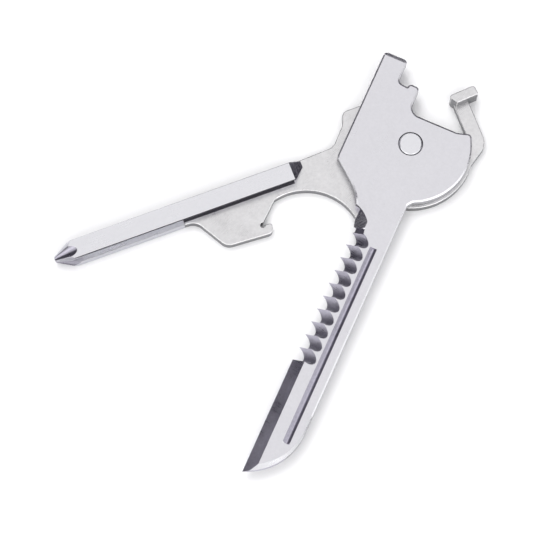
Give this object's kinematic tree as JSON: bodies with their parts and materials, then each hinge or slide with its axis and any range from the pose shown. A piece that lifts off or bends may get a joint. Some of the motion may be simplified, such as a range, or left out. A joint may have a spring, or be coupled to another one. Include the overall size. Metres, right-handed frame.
{
  "type": "multi tool",
  "caption": "Key-shaped folding steel pocket tool: serrated blade, bottle opener, cross-head driver bar, flat driver tips and a latch arm for a key ring.",
  "frame": {"origin": "on the hinge axis, at the underside of the opener half", "axes": "+Z along the hinge axis, up through the opener half to the blade half; the driver bar points to -X; the blade stands open on the -Y side"},
  "size_m": [0.0692, 0.0543, 0.0032],
  "materials": {
    "blade_steel": "polished stainless steel with dark ground bevels",
    "opener_steel": "satin stainless steel",
    "bar_steel": "bright ground steel",
    "rivet_steel": "turned steel",
    "washer_bronze": "plain bronze sheet"
  },
  "bodies": {
    "opener_half": {"opener_leaf": "opener_steel", "driver_bar": "bar_steel", "rivet_sleeve": "rivet_steel", "rivet_stud": "rivet_steel", "pivot_washer": "washer_bronze"},
    "blade_half": {"blade_leaf": "blade_steel"}
  },
  "joints": [
    {"name": "blade_hinge", "type": "hinge", "parent": "opener_half", "child": "blade_half", "pos_m": [0, 0, 0.0024], "axis": [0, 0, 1], "range_deg": [-44, 134]}
  ]
}
